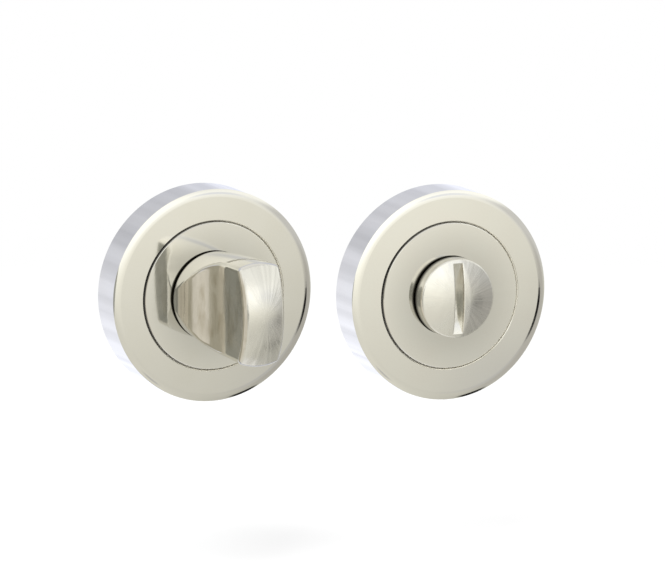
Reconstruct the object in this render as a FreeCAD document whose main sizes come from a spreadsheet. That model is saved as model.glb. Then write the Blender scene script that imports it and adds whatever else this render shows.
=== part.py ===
import FreeCAD, Part
import math
import os
import re
import Sketcher

# A bathroom turn and release: the thumb turn's rose on the left, the coin release's rose on the right.
# Millimetres. The door's face is the plane Y = 0, the roses stand out from it along -Y, and +Z is up.
# Every piece is drawn in its half's own axes: X across, Y up, Z out from the door along the half's axis.

SIZES = {
    # Rose, the same on both halves
    "rose_diameter": 52,
    "rose_depth": 10,
    "cover_wall": 1.4,
    "cover_front": 1.5,
    "cover_lift": 0.2,
    "edge_roll_width": 1.9,
    "edge_roll_drop": 0.45,
    "edge_break": 0.15,
    "ring_width": 7.6,
    "disc_gap": 0.45,
    "disc_rise": 0.2,
    "crown_radius": 420,
    "disc_seat_diameter": 20,
    "disc_thickness": 3,
    "shoulder_width": 0.7,
    "hub_wall": 2.8,
    "flange_thickness": 3,
    "thread_clearance": 0.1,
    # Holes for the woodscrews that fix a rose to the door
    "fixing_margin": 0.2,
    "fixing_hole": 3.2,
    "fixing_head": 5.6,
    "fixing_head_angle": 90,
    # Shank, its bush and what keeps it in the rose
    "shank_diameter": 10,
    "shank_end": 1.2,
    "running_clearance": 0.05,
    "seat_clearance": 0.05,
    "bush_wall": 2,
    "bush_flange_diameter": 18,
    "base_gap": 0.5,
    "washer_diameter": 18,
    "washer_thickness": 0.8,
    "washer_clearance": 0.3,
    "spring_diameter": 17,
    "spring_thickness": 0.5,
    "spring_cone": 0.45,
    "clip_width": 2.6,
    "clip_thickness": 1,
    "clip_gap": 5,
    "clip_hole": 1.2,
    "groove_depth": 0.3,
    # Thumb turn
    "turn_base_diameter": 22.2,
    "turn_base_round": 0.4,
    "turn_rim": 0.8,
    "turn_ledge": 0.3,
    "turn_front_diameter": 25.2,
    "turn_length": 30.4,
    "turn_dome_radius": 22,
    "blade_thickness": 10.6,
    "scoop_length": 18.5,
    "turn_edge_round": 1.4,
    # Square spindle, pinned into the turn's shank
    "spindle_side": 5,
    "spindle_reach": 45,
    "spindle_seat": 14,
    "spindle_clearance": 0.05,
    "spindle_chamfer": 0.6,
    "pin_diameter": 1.5,
    "pin_inset": 0.3,
    "pin_centre": 2.7,
    # Coin release
    "release_base_diameter": 19.7,
    "release_edge_diameter": 19.6,
    "release_base_round": 0.3,
    "release_edge_height": 3.5,
    "release_dome_rise": 1.4,
    "release_edge_round": 0.6,
    "slot_width": 2.2,
    "slot_length": 17.6,
    "slot_depth": 2.6,
    "slot_lip": 0.35,
    "socket_side": 5.3,
    "socket_depth": 9.4,
    # Where the release half lies beside the turn half
    "release_spacing": 63,
    "release_drop": 4.8,
}

doc = FreeCAD.newDocument("bathroom_turn_and_release")
sheet = doc.addObject("Spreadsheet::Sheet", "sizes")
for row, (alias, value) in enumerate(SIZES.items(), start=1):
    sheet.set(f"A{row}", alias)
    sheet.set(f"B{row}", str(value))
    sheet.setAlias(f"B{row}", alias)
doc.recompute()


def number(expression):
    """The value of an expression in the sheet's aliases."""
    return float(sheet.evalExpression(expression))


def bind(thing, name, expression):
    """Ties a property of a document object to an expression in the sheet's aliases."""
    words = re.sub(r"[a-z]\w*", lambda m: f"sizes.{m[0]}" if m[0] in SIZES else m[0], expression)
    thing.setExpression(name, words)


# Radii that several pieces share
COVER_RADIUS = "rose_diameter / 2"
COVER_INSIDE = "(rose_diameter / 2 - cover_wall)"
WINDOW_RADIUS = "(rose_diameter / 2 - ring_width)"
LIP_RADIUS = f"({WINDOW_RADIUS} + edge_break)"
ROLL_RADIUS = "(rose_diameter / 2 - edge_roll_width)"
DISC_RADIUS = f"({WINDOW_RADIUS} - disc_gap)"
FACE_RADIUS = f"({DISC_RADIUS} - edge_break)"
SHOULDER_RADIUS = f"({DISC_RADIUS} + shoulder_width)"
FLANGE_RADIUS = f"({COVER_INSIDE} - thread_clearance)"
FIXING_RADIUS = f"({FLANGE_RADIUS} - fixing_margin - fixing_head / 2)"
SHANK_RADIUS = "shank_diameter / 2"
GROOVE_RADIUS = "(shank_diameter / 2 - groove_depth)"
BUSH_RADIUS = "(shank_diameter / 2 + running_clearance + bush_wall)"


def crown_height(inner, outer):
    """How much higher the crowned face is at its inner radius than at its outer one, as an expression."""
    return f"(sqrt(crown_radius ^ 2 - ({inner}) ^ 2) - sqrt(crown_radius ^ 2 - ({outer}) ^ 2))"


# Places along a half's axis, measured out from the door
DISC_BACK = "rose_depth - disc_thickness"
WASHER_BACK = f"({DISC_BACK} - washer_thickness)"
SPRING_FRONT = f"({WASHER_BACK} - seat_clearance)"
CLIP_FRONT = f"({SPRING_FRONT} - spring_thickness - spring_cone)"
CLIP_BACK = f"({CLIP_FRONT} - clip_thickness)"
RING_LIP = f"(rose_depth + {crown_height(LIP_RADIUS, ROLL_RADIUS)})"
DISC_EDGE = f"({RING_LIP} + disc_rise)"
DISC_SEAT = f"({DISC_EDGE} + {crown_height('disc_seat_diameter / 2', FACE_RADIUS)})"
KNOB_BASE = f"({DISC_SEAT} + base_gap)"

# Lengths under this count as nothing
TOUCH = 1e-6


def new_body(name, half):
    """A body whose Z axis points out from the door, placed on the axis of its half."""
    body = doc.addObject("PartDesign::Body", name)
    body.Label = name
    body.Placement = FreeCAD.Placement(FreeCAD.Vector(), FreeCAD.Rotation(FreeCAD.Vector(1, 0, 0), 90))
    if half == "release":
        bind(body, "Placement.Base.x", "release_spacing")
        bind(body, "Placement.Base.z", "-release_drop")
    return body


def origin_plane(body, role):
    """One of the body's own origin planes."""
    return next(feature for feature in body.Origin.OriginFeatures if feature.Role == role)


def new_sketch(body, name, role, lift=None):
    """An empty sketch on one of the body's origin planes, raised along its normal if a lift is given."""
    sketch = body.newObject("Sketcher::SketchObject", f"{body.Name}_{name}")
    sketch.AttachmentSupport = [(origin_plane(body, role), "")]
    sketch.MapMode = "FlatFace"
    if lift:
        bind(sketch, "AttachmentOffset.Base.z", lift)
    return sketch


def pin_point(sketch, geometry, end, across, along):
    """Holds a point of the sketch at a place given by two expressions, measured from the origin."""
    for kind, axis, expression in (("DistanceX", -2, across), ("DistanceY", -1, along)):
        if abs(number(expression)) < TOUCH:
            sketch.addConstraint(Sketcher.Constraint("PointOnObject", geometry, end, axis))
        else:
            item = Sketcher.Constraint(kind, -1, 1, geometry, end, number(expression))
            bind(sketch, f"Constraints[{sketch.addConstraint(item)}]", expression)


def arc_between(start, finish, radius, side):
    """The shorter arc from start to finish, with its centre on the left (1) or right (-1) of the way."""
    chord = finish - start
    left = FreeCAD.Vector(-chord.y, chord.x, 0).normalize()
    depth = math.sqrt(max(radius ** 2 - chord.Length ** 2 / 4, 0))
    centre = (start + finish) / 2 + left * (depth * side)
    first, last = (start, finish) if side > 0 else (finish, start)
    angles = [math.atan2((point - centre).y, (point - centre).x) for point in (first, last)]
    return Part.ArcOfCircle(Part.Circle(centre, FreeCAD.Vector(0, 0, 1), radius), *angles)


def outline(body, name, role, corners, lift=None):
    """A closed sketch. A corner is (across, along), and also has (radius, side) where an arc leaves it."""
    sketch = new_sketch(body, name, role, lift)
    points = [FreeCAD.Vector(number(corner[0]), number(corner[1]), 0) for corner in corners]
    ends = []
    for corner, start, finish in zip(corners, points, points[1:] + points[:1]):
        if len(corner) == 2:
            ends.append((sketch.addGeometry(Part.LineSegment(start, finish)), 1, 2))
            continue
        radius, side = corner[2:]
        geometry = sketch.addGeometry(arc_between(start, finish, number(radius), side))
        ends.append((geometry, 1, 2) if side > 0 else (geometry, 2, 1))
    for (geometry, start, _), (before, _, finish) in zip(ends, ends[-1:] + ends[:-1]):
        sketch.addConstraint(Sketcher.Constraint("Coincident", before, finish, geometry, start))
    for (geometry, start, _), corner in zip(ends, corners):
        pin_point(sketch, geometry, start, corner[0], corner[1])
        if len(corner) > 2:
            item = Sketcher.Constraint("Radius", geometry, number(corner[2]))
            bind(sketch, f"Constraints[{sketch.addConstraint(item)}]", corner[2])
    return sketch


def round_hole(body, name, role, places, diameter, lift=None):
    """A sketch of circles of one diameter, at places given by expressions."""
    sketch = new_sketch(body, name, role, lift)
    for across, along in places:
        centre = FreeCAD.Vector(number(across), number(along), 0)
        circle = Part.Circle(centre, FreeCAD.Vector(0, 0, 1), number(diameter) / 2)
        geometry = sketch.addGeometry(circle)
        pin_point(sketch, geometry, 3, across, along)
        item = Sketcher.Constraint("Diameter", geometry, number(diameter))
        bind(sketch, f"Constraints[{sketch.addConstraint(item)}]", diameter)
    return sketch


def square(body, name, side, lift):
    """A sketch of a square about the axis."""
    sketch = new_sketch(body, name, "XY_Plane", lift)
    half = number(side) / 2
    corners = [FreeCAD.Vector(x * half, y * half, 0) for x, y in ((-1, -1), (1, -1), (1, 1), (-1, 1))]
    lines = [sketch.addGeometry(Part.LineSegment(a, b)) for a, b in zip(corners, corners[1:] + corners[:1])]
    for line, before in zip(lines, lines[-1:] + lines[:-1]):
        sketch.addConstraint(Sketcher.Constraint("Coincident", before, 2, line, 1))
    for line in lines[0::2]:
        sketch.addConstraint(Sketcher.Constraint("Horizontal", line))
    for line in lines[1::2]:
        sketch.addConstraint(Sketcher.Constraint("Vertical", line))
    sketch.addConstraint(Sketcher.Constraint("Symmetric", lines[0], 1, lines[2], 1, -1, 1))
    for line in lines[:2]:
        item = Sketcher.Constraint("Distance", line, number(side))
        bind(sketch, f"Constraints[{sketch.addConstraint(item)}]", side)
    return sketch


def turned(body, corners):
    """A turned blank: the outline of half its section, swung about the axis."""
    sketch = outline(body, "section", "XZ_Plane", corners)
    blank = body.newObject("PartDesign::Revolution", f"{body.Name}_turned")
    blank.Profile = sketch
    blank.ReferenceAxis = (sketch, ["V_Axis"])
    blank.Angle = 360
    doc.recompute()
    return blank


def cut(body, name, sketch, length, both_ways=False, outward=False):
    """A pocket that has to take material away; outward means along the sketch's normal."""
    before = body.Shape.Volume
    pocket = body.newObject("PartDesign::Pocket", f"{body.Name}_{name}")
    pocket.Profile = sketch
    bind(pocket, "Length", length)
    pocket.Midplane = both_ways
    pocket.Reversed = outward
    doc.recompute()
    if body.Shape.Volume > before - 1e-3:
        raise RuntimeError(f"{pocket.Name} cuts nothing")
    return pocket


def rounded(body, name, wanted, radius):
    """A fillet on the edges that a test picks out."""
    base = body.Tip
    numbered = enumerate(base.Shape.Edges, start=1)
    edges = [f"Edge{i}" for i, edge in numbered if not edge.Degenerated and wanted(edge)]
    if not edges:
        raise RuntimeError(f"{body.Name} has no edge for {name}")
    fillet = body.newObject("PartDesign::Fillet", f"{body.Name}_{name}")
    fillet.Base = (base, edges)
    bind(fillet, "Radius", radius)
    doc.recompute()
    return fillet


def rose_cover(half):
    """The screw-on cover: a turned cap with a crowned front, a rolled edge and a window for the disc."""
    body = new_body(f"{half}_rose_cover", half)
    chord = "sqrt(edge_roll_width ^ 2 + edge_roll_drop ^ 2)"
    half_bend = f"(atan(edge_roll_drop / edge_roll_width) - asin({ROLL_RADIUS} / crown_radius))"
    roll = f"{chord} / (2 * sin({half_bend}))"
    turned(body, [
        (WINDOW_RADIUS, "rose_depth - cover_front"),
        (COVER_INSIDE, "rose_depth - cover_front"),
        (COVER_INSIDE, "cover_lift"),
        (COVER_RADIUS, "cover_lift"),
        (COVER_RADIUS, "rose_depth - edge_roll_drop", roll, 1),
        (ROLL_RADIUS, "rose_depth", "crown_radius", 1),
        (LIP_RADIUS, RING_LIP),
        (WINDOW_RADIUS, f"{RING_LIP} - edge_break"),
    ])
    return body


def inner_rose(half):
    """The rose that is screwed to the door: a flange, a hollow hub and the disc that shows in the cover."""
    body = new_body(f"{half}_inner_rose", half)
    bore = f"({BUSH_RADIUS} + seat_clearance)"
    turned(body, [
        (f"{SHOULDER_RADIUS} - hub_wall", "0"),
        (FLANGE_RADIUS, "0"),
        (FLANGE_RADIUS, "flange_thickness"),
        (SHOULDER_RADIUS, "flange_thickness"),
        (SHOULDER_RADIUS, "rose_depth - cover_front"),
        (DISC_RADIUS, "rose_depth - cover_front"),
        (DISC_RADIUS, f"{DISC_EDGE} - edge_break"),
        (FACE_RADIUS, DISC_EDGE, "crown_radius", 1),
        ("disc_seat_diameter / 2", DISC_SEAT),
        (bore, DISC_SEAT),
        (bore, DISC_BACK),
        (f"{SHOULDER_RADIUS} - hub_wall", DISC_BACK),
    ])
    places = [(FIXING_RADIUS, "0"), (f"-{FIXING_RADIUS}", "0")]
    sketch = round_hole(body, "fixings", "XY_Plane", places, "fixing_hole", "flange_thickness")
    hole = body.newObject("PartDesign::Hole", f"{body.Name}_fixing_holes")
    hole.Profile = sketch
    hole.DepthType = "ThroughAll"
    bind(hole, "Diameter", "fixing_hole")
    hole.HoleCutType = "Countersink"
    hole.HoleCutCustomValues = True
    bind(hole, "HoleCutDiameter", "fixing_head")
    bind(hole, "HoleCutCountersinkAngle", "fixing_head_angle")
    doc.recompute()
    return body


def bush(half):
    """The nylon bush that the shank turns in, with the thin flange that carries the knob's base."""
    body = new_body(f"{half}_bush", half)
    inside = f"({SHANK_RADIUS} + running_clearance)"
    turned(body, [
        (inside, DISC_BACK),
        (BUSH_RADIUS, DISC_BACK),
        (BUSH_RADIUS, DISC_SEAT),
        ("bush_flange_diameter / 2", DISC_SEAT),
        ("bush_flange_diameter / 2", f"{KNOB_BASE} - seat_clearance"),
        (inside, f"{KNOB_BASE} - seat_clearance"),
    ])
    return body


def thrust_washer(half):
    """The plain washer that lies against the back of the disc."""
    body = new_body(f"{half}_thrust_washer", half)
    inside = f"({SHANK_RADIUS} + washer_clearance)"
    turned(body, [
        (inside, WASHER_BACK),
        ("washer_diameter / 2", WASHER_BACK),
        ("washer_diameter / 2", DISC_BACK),
        (inside, DISC_BACK),
    ])
    return body


def spring_washer(half):
    """The coned spring washer that takes up the play between the plain washer and the clip."""
    body = new_body(f"{half}_spring_washer", half)
    inside = f"({SHANK_RADIUS} + seat_clearance)"
    turned(body, [
        (inside, CLIP_FRONT),
        ("spring_diameter / 2", f"{CLIP_FRONT} + spring_cone"),
        ("spring_diameter / 2", SPRING_FRONT),
        (inside, f"{CLIP_FRONT} + spring_thickness"),
    ])
    return body


def circlip(half):
    """The external circlip in the shank's groove, open at the bottom and drilled for pliers."""
    body = new_body(f"{half}_circlip", half)
    inside = f"({GROOVE_RADIUS} + seat_clearance)"
    outside = f"({inside} + clip_width)"
    turned(body, [(inside, CLIP_BACK), (outside, CLIP_BACK), (outside, CLIP_FRONT), (inside, CLIP_FRONT)])
    mouth = outline(body, "mouth", "XY_Plane", [
        ("-clip_gap / 2", f"-{outside} - clip_gap"),
        ("clip_gap / 2", f"-{outside} - clip_gap"),
        ("clip_gap / 2", f"-{inside} / 2"),
        ("-clip_gap / 2", f"-{inside} / 2"),
    ], CLIP_BACK)
    cut(body, "open_mouth", mouth, "clip_thickness", outward=True)
    across = "(clip_gap / 2 + clip_hole)"
    middle = f"({inside} + clip_width / 2)"
    along = f"-sqrt({middle} ^ 2 - {across} ^ 2)"
    places = [(across, along), (f"-{across}", along)]
    eyes = round_hole(body, "eyes", "XY_Plane", places, "clip_hole", CLIP_BACK)
    cut(body, "plier_holes", eyes, "clip_thickness", outward=True)
    return body


def shank_section():
    """The part of a knob's section from the end of its shank to the underside of its base."""
    return [
        ("0", "shank_end"),
        (SHANK_RADIUS, "shank_end"),
        (SHANK_RADIUS, f"{CLIP_BACK} - seat_clearance"),
        (GROOVE_RADIUS, f"{CLIP_BACK} - seat_clearance"),
        (GROOVE_RADIUS, f"{CLIP_FRONT} + seat_clearance"),
        (SHANK_RADIUS, f"{CLIP_FRONT} + seat_clearance"),
        (SHANK_RADIUS, KNOB_BASE),
    ]


def thumb_turn():
    """The turn: a turned barrel with a domed front, scooped on both sides to a blade for finger and thumb."""
    body = new_body("thumb_turn", "turn")
    base = "turn_base_diameter / 2"
    front = "turn_front_diameter / 2"
    tip = f"({KNOB_BASE} + turn_length)"
    rim = f"({tip} - turn_dome_radius + sqrt(turn_dome_radius ^ 2 - ({front}) ^ 2))"
    ledge = f"({KNOB_BASE} + turn_rim)"
    swell = f"({front} - {base})"
    barrel = f"({swell} ^ 2 + ({rim} - {ledge}) ^ 2) / (2 * {swell})"
    turned(body, shank_section() + [
        (f"{base} - turn_base_round", KNOB_BASE, "turn_base_round", 1),
        (base, f"{KNOB_BASE} + turn_base_round"),
        (base, ledge, barrel, 1),
        (front, rim, "turn_dome_radius", 1),
        ("0", tip),
    ])
    neck = f"({ledge} + scoop_length)"
    wide = f"({base} - turn_ledge)"
    narrow = "blade_thickness / 2"
    ogee = f"(({wide} - {narrow}) ^ 2 + scoop_length ^ 2) / (4 * ({wide} - {narrow}))"
    scoop = outline(body, "scoop", "XZ_Plane", [
        ("turn_front_diameter", ledge),
        ("turn_front_diameter", f"{tip} + turn_rim"),
        (narrow, f"{tip} + turn_rim"),
        (narrow, neck, ogee, 1),
        (f"({wide} + {narrow}) / 2", f"({ledge} + {neck}) / 2", ogee, -1),
        (wide, ledge),
    ])
    pocket = cut(body, "scoop_cut", scoop, "2 * turn_front_diameter", both_ways=True)
    mirror = body.newObject("PartDesign::Mirrored", "thumb_turn_both_scoops")
    mirror.Originals = [pocket]
    mirror.MirrorPlane = (origin_plane(body, "YZ_Plane"), [""])
    body.Tip = mirror
    doc.recompute()

    def on_blade(edge):
        box = edge.BoundBox
        level = box.XLength + box.ZLength < TOUCH
        return box.ZMax > number(f"{ledge} + turn_rim") and box.YLength > TOUCH and not level

    rounded(body, "soft_edges", on_blade, "turn_edge_round")
    seat = square(body, "seat", "spindle_side + 2 * spindle_clearance", "shank_end")
    cut(body, "spindle_seat", seat, "spindle_seat", outward=True)
    pin_hole(body)
    return body


def pin_hole(body):
    """The cross hole for the pin that holds the spindle in the shank."""
    eye = round_hole(body, "eye", "YZ_Plane", [("0", "pin_centre")], "pin_diameter + 2 * spindle_clearance")
    cut(body, "pin_hole", eye, "2 * shank_diameter", both_ways=True)


def spindle():
    """The square bar that works the bolt case and reaches into the release, chamfered at both ends."""
    body = new_body("spindle", "turn")
    section = square(body, "section", "spindle_side", "-spindle_reach")
    bar = body.newObject("PartDesign::Pad", "spindle_bar")
    bar.Profile = section
    bind(bar, "Length", "spindle_reach + shank_end + spindle_seat - spindle_clearance")
    doc.recompute()
    ends = [f"Edge{i}" for i, edge in enumerate(bar.Shape.Edges, start=1) if edge.BoundBox.ZLength < TOUCH]
    chamfer = body.newObject("PartDesign::Chamfer", "spindle_ends")
    chamfer.Base = (bar, ends)
    bind(chamfer, "Size", "spindle_chamfer")
    doc.recompute()
    pin_hole(body)
    return body


def spindle_pin():
    """The plain pin across the shank that keeps the spindle in it."""
    body = new_body("spindle_pin", "turn")
    section = round_hole(body, "section", "YZ_Plane", [("0", "pin_centre")], "pin_diameter")
    pin = body.newObject("PartDesign::Pad", "spindle_pin_round")
    pin.Profile = section
    pin.Midplane = True
    bind(pin, "Length", "shank_diameter - 2 * pin_inset")
    doc.recompute()
    return body


def coin_release():
    """The release: a turned boss with a domed front, cut across by a disc cutter to take a coin."""
    body = new_body("coin_release", "release")
    base = "release_base_diameter / 2"
    edge = "release_edge_diameter / 2"
    brow = f"({KNOB_BASE} + release_edge_height)"
    tip = f"({brow} + release_dome_rise)"
    dome = f"(({edge}) ^ 2 + release_dome_rise ^ 2) / (2 * release_dome_rise)"
    turned(body, shank_section() + [
        (f"{base} - release_base_round", KNOB_BASE, "release_base_round", 1),
        (base, f"{KNOB_BASE} + release_base_round"),
        (edge, brow, dome, 1),
        ("0", tip),
    ])

    def on_brow(edge):
        box = edge.BoundBox
        return abs(box.ZMin - number(brow)) < TOUCH and box.ZLength < TOUCH

    rounded(body, "soft_brow", on_brow, "release_edge_round")
    sink = f"({dome} - sqrt(({dome}) ^ 2 - (slot_length / 2) ^ 2))"
    rise = f"(slot_depth - {sink})"
    cutter = f"((slot_length / 2) ^ 2 + {rise} ^ 2) / (2 * {rise})"
    wheel = round_hole(body, "cutter", "YZ_Plane", [("0", f"{tip} - slot_depth + {cutter}")], f"2 * {cutter}")
    cut(body, "coin_slot", wheel, "slot_width", both_ways=True)

    def on_lip(edge):
        box = edge.BoundBox
        on_wall = abs(abs(box.XMin) - number("slot_width / 2")) < TOUCH and box.XLength < TOUCH
        return on_wall and box.ZMax > number(f"{tip} - slot_lip")

    rounded(body, "slot_lips", on_lip, "slot_lip")
    socket = square(body, "socket", "socket_side", "shank_end")
    cut(body, "spindle_socket", socket, "socket_depth", outward=True)
    return body


def check_and_write(bodies):
    """Stops if anything failed, then writes each piece to a file of its own."""
    for thing in doc.Objects:
        if {"Invalid", "Error"} & set(thing.State):
            raise RuntimeError(f"{thing.Name} failed")
    for body in bodies:
        if body.Shape.isNull() or not body.Shape.isValid() or len(body.Shape.Solids) != 1:
            raise RuntimeError(f"{body.Label} is not one sound solid")
    os.makedirs("parts", exist_ok=True)
    for body in bodies:
        body.Shape.exportStep(f"parts/{body.Label}.step")
        print(f"{body.Label}: {body.Shape.Volume:.1f} cubic millimetres")


pieces = []
for half in ("turn", "release"):
    pieces += [
        rose_cover(half),
        inner_rose(half),
        bush(half),
        thrust_washer(half),
        spring_washer(half),
        circlip(half),
    ]
pieces += [thumb_turn(), spindle(), spindle_pin(), coin_release()]
doc.recompute()
check_and_write(pieces)
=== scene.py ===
# %% [markdown]
# # A bathroom turn and release in polished nickel
# Two round roses lie side by side. The left one carries a scooped thumb turn on a square spindle,
# for the inside of the door. The right one carries a low boss with a coin slot, for the outside.
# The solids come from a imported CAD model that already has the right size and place, so this script
# only dresses them: it sets a camera and soft light, and gives every solid a finish from nodes.

# %% Load the fixed frame
import math

import bmesh
import bpy
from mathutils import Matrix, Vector


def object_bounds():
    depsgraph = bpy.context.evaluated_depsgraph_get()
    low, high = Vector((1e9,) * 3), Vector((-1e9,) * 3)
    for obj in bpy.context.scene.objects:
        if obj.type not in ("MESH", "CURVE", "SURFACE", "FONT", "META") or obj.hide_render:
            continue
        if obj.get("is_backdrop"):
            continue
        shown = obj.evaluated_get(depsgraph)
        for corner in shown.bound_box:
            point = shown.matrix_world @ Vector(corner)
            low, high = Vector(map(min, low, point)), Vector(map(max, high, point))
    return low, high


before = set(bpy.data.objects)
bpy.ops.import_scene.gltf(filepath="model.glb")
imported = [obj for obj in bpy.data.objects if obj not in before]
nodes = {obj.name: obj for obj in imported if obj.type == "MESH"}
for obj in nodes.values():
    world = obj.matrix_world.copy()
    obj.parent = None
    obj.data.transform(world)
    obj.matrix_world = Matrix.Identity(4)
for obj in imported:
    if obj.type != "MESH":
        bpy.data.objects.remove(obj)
cad_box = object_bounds()
MM = 0.001
cad_size = cad_box[1] - cad_box[0]
print("solids:", len(nodes), "size in mm:", [round(side / MM, 1) for side in cad_size])

# %% [markdown]
# ## The camera
# A lens far away and very long keeps the two roses nearly the same size, as a product photograph
# does. The place of the camera follows from two angles and a target, so that each number can be
# read and changed on its own.

# %% Camera
AZIMUTH = math.radians(-24.36)
ELEVATION = math.radians(10.6)
DISTANCE = 2.0
TARGET = Vector((36.15 * MM, 0, -4.0 * MM))
PIXELS_PER_RADIAN = 8186.8
PICTURE_WIDTH = 665
SENSOR = 36

towards_camera = Vector((
    math.sin(AZIMUTH) * math.cos(ELEVATION),
    -math.cos(AZIMUTH) * math.cos(ELEVATION),
    math.sin(ELEVATION),
))
scene = bpy.context.scene
camera = bpy.data.objects.new("camera", bpy.data.cameras.new("camera"))
scene.collection.objects.link(camera)
camera.location = TARGET + towards_camera * DISTANCE
camera.rotation_mode = "QUATERNION"
camera.rotation_quaternion = towards_camera.to_track_quat("Z", "Y")
camera.data.sensor_width = SENSOR
camera.data.lens = SENSOR * PIXELS_PER_RADIAN / PICTURE_WIDTH
scene.camera = camera
scene.view_settings.view_transform = "Standard"
print("lens in mm:", round(camera.data.lens, 1))

# %% [markdown]
# ## Helpers for nodes and colours
# A colour is written as it looks on a screen and turned to linear light here, because shaders count
# in linear light. One function adds a node, sets its properties, and fills each input with a value
# or with a link.

# %% Colour and node helpers


def colour(screen_hex):
    """The linear colour of an sRGB value such as D9D6C9."""
    parts = [int(screen_hex[i:i + 2], 16) / 255 for i in (0, 2, 4)]
    return [p / 12.92 if p <= 0.04045 else ((p + 0.055) / 1.055) ** 2.4 for p in parts] + [1.0]


def add(tree, kind, inputs=(), **settings):
    """Adds a node. Each input is a socket to link from, or a plain value."""
    node = tree.nodes.new(kind)
    for name, value in settings.items():
        setattr(node, name, value)
    for name, value in dict(inputs).items():
        if isinstance(value, bpy.types.NodeSocket):
            tree.links.new(value, node.inputs[name])
        else:
            node.inputs[name].default_value = value
    return node


print("white in linear light:", colour("FFFFFF"))

# %% [markdown]
# ## The world
# Polished metal has hardly any colour of its own: it shows the room. The world is plain white where
# the camera or a reflection looks at it, and a little dimmer as a lamp, so that the background is
# white and nothing burns out.

# %% World
DAYLIGHT = 0.9
WHITE = colour("FFFFFF")

world = bpy.data.worlds.new("white_room")
scene.world = world
world.use_nodes = True
room = world.node_tree
room.nodes.clear()
path = add(room, "ShaderNodeLightPath")
seen = add(room, "ShaderNodeMath", {
    0: path.outputs["Is Camera Ray"], 1: path.outputs["Is Glossy Ray"]}, operation="MAXIMUM")
seen = add(room, "ShaderNodeMath", {
    0: seen.outputs[0], 1: path.outputs["Is Transmission Ray"]}, operation="MAXIMUM")
level = add(room, "ShaderNodeMapRange", {
    "Value": seen.outputs[0], "To Min": DAYLIGHT, "To Max": 1.0})
sky = add(room, "ShaderNodeBackground", {"Color": WHITE, "Strength": level.outputs[0]})
add(room, "ShaderNodeOutputWorld", {"Surface": sky.outputs[0]})
print("world:", world.name)

# %% [markdown]
# ## The floor
# The roses stand in the air in the picture, so the white paper lies some way below them and only
# takes a faint, wide shadow. A see-through shader, mixed in by distance, fades its edge to nothing,
# so that no horizon shows. The metal doesn't mirror the paper, but the light tent that comes next.
# Two helpers come first: one makes an empty material, the other puts a mesh into the studio.

# %% Studio helpers


def blank_material(name):
    """A material with nothing in it, and its node tree."""
    material = bpy.data.materials.new(name)
    material.use_nodes = True
    material.node_tree.nodes.clear()
    return material, material.node_tree


def stage_piece(name, shape, material):
    """Puts a bmesh in the scene as a part of the studio."""
    mesh = bpy.data.meshes.new(name)
    shape.to_mesh(mesh)
    shape.free()
    mesh.materials.append(material)
    thing = bpy.data.objects.new(name, mesh)
    scene.collection.objects.link(thing)
    thing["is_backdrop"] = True
    return thing


# %% Floor
FLOOR_LEVEL = cad_box[0].z - 45 * MM
FLOOR_HALF = 1.2
FADE_FROM = 0.12
FADE_TO = 0.45
PAPER = colour("FBFBFB")

material, tree = blank_material("white_paper")
place = add(tree, "ShaderNodeTexCoord")
centred = add(tree, "ShaderNodeVectorMath", {
    0: place.outputs["Object"], 1: (TARGET.x, 0, 0)}, operation="SUBTRACT")
reach = add(tree, "ShaderNodeVectorMath", {0: centred.outputs[0]}, operation="LENGTH")
fade = add(tree, "ShaderNodeMapRange", {
    "Value": reach.outputs["Value"], "From Min": FADE_FROM, "From Max": FADE_TO})
paper = add(tree, "ShaderNodeBsdfDiffuse", {"Color": PAPER})
clear = add(tree, "ShaderNodeBsdfTransparent")
mixed = add(tree, "ShaderNodeMixShader", {
    0: fade.outputs[0], 1: paper.outputs[0], 2: clear.outputs[0]})
add(tree, "ShaderNodeOutputMaterial", {"Surface": mixed.outputs[0]})

sheet = bmesh.new()
bmesh.ops.create_grid(sheet, x_segments=1, y_segments=1, size=FLOOR_HALF)
bmesh.ops.translate(sheet, vec=(TARGET.x, 0, FLOOR_LEVEL), verts=sheet.verts)
floor = stage_piece("floor", sheet, material)
floor.visible_glossy = False
print("floor at mm:", round(FLOOR_LEVEL / MM, 1))

# %% [markdown]
# ## The light tent
# Bright metal is photographed inside a tent of white cloth, and what it shows is that cloth: bright
# above, dimmer below, cooler behind the roses, with a few grey and dark things near the camera. The
# tent could be many lamps and cards, but each would need its place. Here it is one spun wall that
# only reflections see. Its glow is worked out from the direction: the angle round the wall, which
# is 0 straight in front of the roses, and the height over the radius, which is the slope of the
# line of sight.

# %% Tent directions
TENT_RADIUS = 3.0
TENT_CENTRE = (0.0315, 0, 0)


def rise(degrees):
    """The slope of a line of sight that goes up by an angle."""
    return math.tan(math.radians(degrees))


tent_cloth, tree = blank_material("white_tent_cloth")
place = add(tree, "ShaderNodeTexCoord")
centred = add(tree, "ShaderNodeVectorMath", {
    0: place.outputs["Object"], 1: TENT_CENTRE}, operation="SUBTRACT")
part = add(tree, "ShaderNodeSeparateXYZ", {0: centred.outputs[0]})
ahead = add(tree, "ShaderNodeMath", {0: part.outputs["Y"], 1: -1.0}, operation="MULTIPLY")
around = add(tree, "ShaderNodeMath", {
    0: part.outputs["X"], 1: ahead.outputs[0]}, operation="ARCTAN2").outputs[0]
slope = add(tree, "ShaderNodeMath", {
    0: part.outputs["Z"], 1: TENT_RADIUS}, operation="DIVIDE").outputs[0]
sight = add(tree, "ShaderNodeCombineXYZ", {"X": around, "Y": slope}).outputs[0]
print("slope of a line that goes up by 45 degrees:", round(rise(45), 3))

# %% Cloth in front
# The angles between which a level changes, in degrees, and the level at either one
UPWARDS = (-22, 14, 0.85, 1.5)
TO_THE_RIGHT = (5, 40, 1.07, 0.78)
TO_THE_TOP = (12, 30, 1.0, 0.8)
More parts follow.
